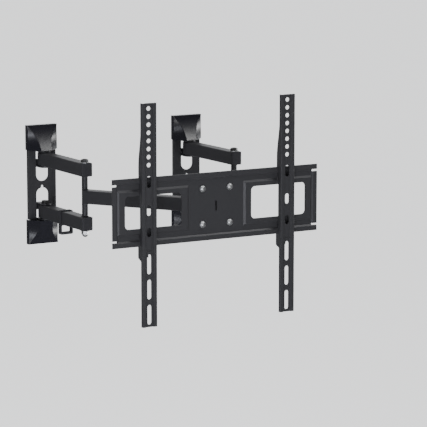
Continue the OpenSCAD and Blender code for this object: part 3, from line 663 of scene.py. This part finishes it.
class MOUNT_OT_head(bpy.types.Operator):
    """Rounds the forked head, the tilt frame and the locking knobs"""

    bl_idname = "mount.head"
    bl_label = "Head"

    def execute(self, context):
        detail = context.scene.mount_detail
        dressed_copy("head_bracket", "forked_head", detail.sheet_edge)
        dressed_copy("tilt_frame", "tilting_frame", detail.sheet_edge)
        dressed_copy("tilt_knobs", "locking_knobs", detail.moulded_edge)
        return {"FINISHED"}


class MOUNT_OT_plate(bpy.types.Operator):
    """Rounds the pressed plate"""

    bl_idname = "mount.plate"
    bl_label = "Plate"

    def execute(self, context):
        edge = context.scene.mount_detail.sheet_edge
        dressed_copy("tv_plate", "pressed_plate", edge, PLATE_ANGLE)
        return {"FINISHED"}


class MOUNT_OT_rails(bpy.types.Operator):
    """Rounds the two slotted rails"""

    bl_idname = "mount.rails"
    bl_label = "Rails"

    def execute(self, context):
        edge = context.scene.mount_detail.sheet_edge
        for side in SIDES:
            dressed_copy(f"{side}_rail", f"{side}_slotted_rail", edge)
        return {"FINISHED"}


class MOUNT_OT_fasteners(bpy.types.Operator):
    """Rounds the bolts, nuts, washers and bushes"""

    bl_idname = "mount.fasteners"
    bl_label = "Fasteners"

    def execute(self, context):
        edge = context.scene.mount_detail.fastener_edge
        for node, slot in SLOT_OF.items():
            if slot in ("black_bolts", "zinc", "nylon"):
                dressed_copy(node, f"{node}_turned", edge, TURNED_ANGLE)
        return {"FINISHED"}


class MOUNT_OT_stage(bpy.types.Operator):
    """Sets the camera, the pale floor and the soft lights"""

    bl_idname = "mount.stage"
    bl_label = "Stage"

    def execute(self, context):
        stage = context.scene.mount_stage
        low, high = (Vector(corner) for corner in CAD_BOX)
        middle = (low + high) / 2
        camera_data = bpy.data.cameras.new("camera")
        camera_data.sensor_width = SENSOR_WIDTH
        camera_data.lens = stage.lens
        camera_data.clip_end = SIGHT
        camera = bpy.data.objects.new("camera", camera_data)
        context.scene.collection.objects.link(camera)
        camera.location = stage.camera_place
        camera.rotation_euler = (pi / 2 - stage.elevation, 0, -stage.azimuth)
        context.scene.camera = camera

        bpy.ops.object.select_all(action="DESELECT")
        floor_place = (middle.x, middle.y, low.z - stage.floor_drop)
        bpy.ops.mesh.primitive_plane_add(size=FLOOR_WIDTH, location=floor_place)
        floor = context.active_object
        floor.name = "floor"
        floor.data.materials.append(painted_floor())
        floor.visible_glossy = False

        for name, place, width, height, power, colour in LIGHTS:
            lamp_data = bpy.data.lights.new(name, "AREA")
            lamp_data.shape = "RECTANGLE"
            lamp_data.size = width
            lamp_data.size_y = height
            lamp_data.energy = power
            lamp_data.color = linear(colour)
            lamp = bpy.data.objects.new(name, lamp_data)
            context.scene.collection.objects.link(lamp)
            lamp.location = middle + Vector(place)
            lamp.rotation_euler = (middle - lamp.location).to_track_quat("-Z", "Y").to_euler()

        context.scene.world = studio_air(stage.azimuth)
        return {"FINISHED"}


class MOUNT_PT_panel(bpy.types.Panel):
    """Lists the wall mount's sizes, colours and steps"""

    bl_label = "Wall mount"
    bl_idname = "MOUNT_PT_panel"
    bl_space_type = "VIEW_3D"
    bl_region_type = "UI"
    bl_category = "Wall mount"

    def draw(self, context):
        for settings in ("mount_finish", "mount_detail", "mount_stage"):
            group = getattr(context.scene, settings)
            box = self.layout.box()
            for name in group.__annotations__:
                box.prop(group, name)
        for step in STEPS:
            self.layout.operator(step.bl_idname)


GROUPS = (MountFinish, MountDetail, MountStage)
STEPS = (
    MOUNT_OT_finishes,
    MOUNT_OT_wall_brackets,
    MOUNT_OT_wall_covers,
    MOUNT_OT_arms,
    MOUNT_OT_weld_beads,
    MOUNT_OT_head,
    MOUNT_OT_plate,
    MOUNT_OT_rails,
    MOUNT_OT_fasteners,
    MOUNT_OT_stage,
)


def register():
    for kind in (*GROUPS, *STEPS, MOUNT_PT_panel):
        bpy.utils.register_class(kind)
    bpy.types.Scene.mount_finish = bpy.props.PointerProperty(type=MountFinish)
    bpy.types.Scene.mount_detail = bpy.props.PointerProperty(type=MountDetail)
    bpy.types.Scene.mount_stage = bpy.props.PointerProperty(type=MountStage)


def unregister():
    del bpy.types.Scene.mount_stage
    del bpy.types.Scene.mount_detail
    del bpy.types.Scene.mount_finish
    for kind in (MOUNT_PT_panel, *reversed(STEPS), *reversed(GROUPS)):
        bpy.utils.unregister_class(kind)


def main():
    """Registers the add-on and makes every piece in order."""
    register()
    for step in STEPS:
        group, name = step.bl_idname.split(".")
        getattr(getattr(bpy.ops, group), name)()


if __name__ == "__main__":
    main()
